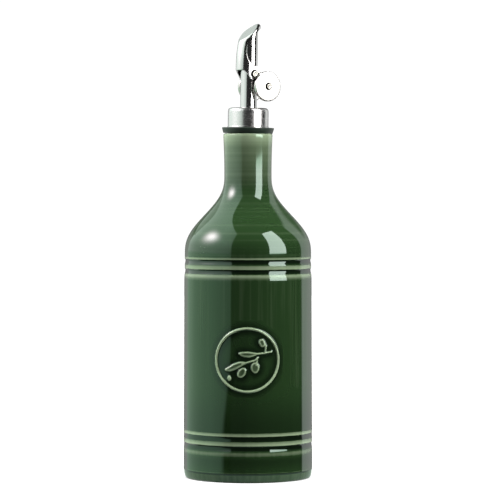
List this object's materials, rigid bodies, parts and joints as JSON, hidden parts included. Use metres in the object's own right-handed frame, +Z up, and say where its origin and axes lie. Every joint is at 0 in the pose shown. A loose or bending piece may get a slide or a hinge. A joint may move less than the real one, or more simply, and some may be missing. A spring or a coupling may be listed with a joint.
{
  "type": "olive oil dispenser bottle",
  "caption": "Tall round glazed ceramic oil bottle with ribbed bands, a raised olive sprig medallion and a stoppered steel pourer with a weighted flap.",
  "frame": {"origin": "centre of the bottle's base, on the surface that it stands on", "axes": "+Z up along the bottle, -Y towards the front with the medallion; the spout pours towards -X and -Y"},
  "size_m": [0.0746, 0.0751, 0.2624],
  "materials": {
    "glaze": "glossy dark green glaze, paler where it runs thin on edges",
    "steel": "satin to polished stainless steel",
    "rubber": "matte black"
  },
  "bodies": {
    "bottle_body": {"bottle": "glaze", "stopper_flange": "rubber", "collar": "steel", "spout_tube": "steel", "pivot_rivet_near": "steel", "pivot_rivet_far": "steel"},
    "flap_body": {"flap": "steel", "weight_near": "steel", "weight_far": "steel", "weight_rivet": "steel"}
  },
  "joints": [
    {"name": "flap_hinge", "type": "hinge", "parent": "bottle_body", "child": "flap_body", "pos_m": [0.0006, 0, 0.2333], "axis": [0.5591, -0.829, -0.0098], "range_deg": [0, 62]}
  ]
}
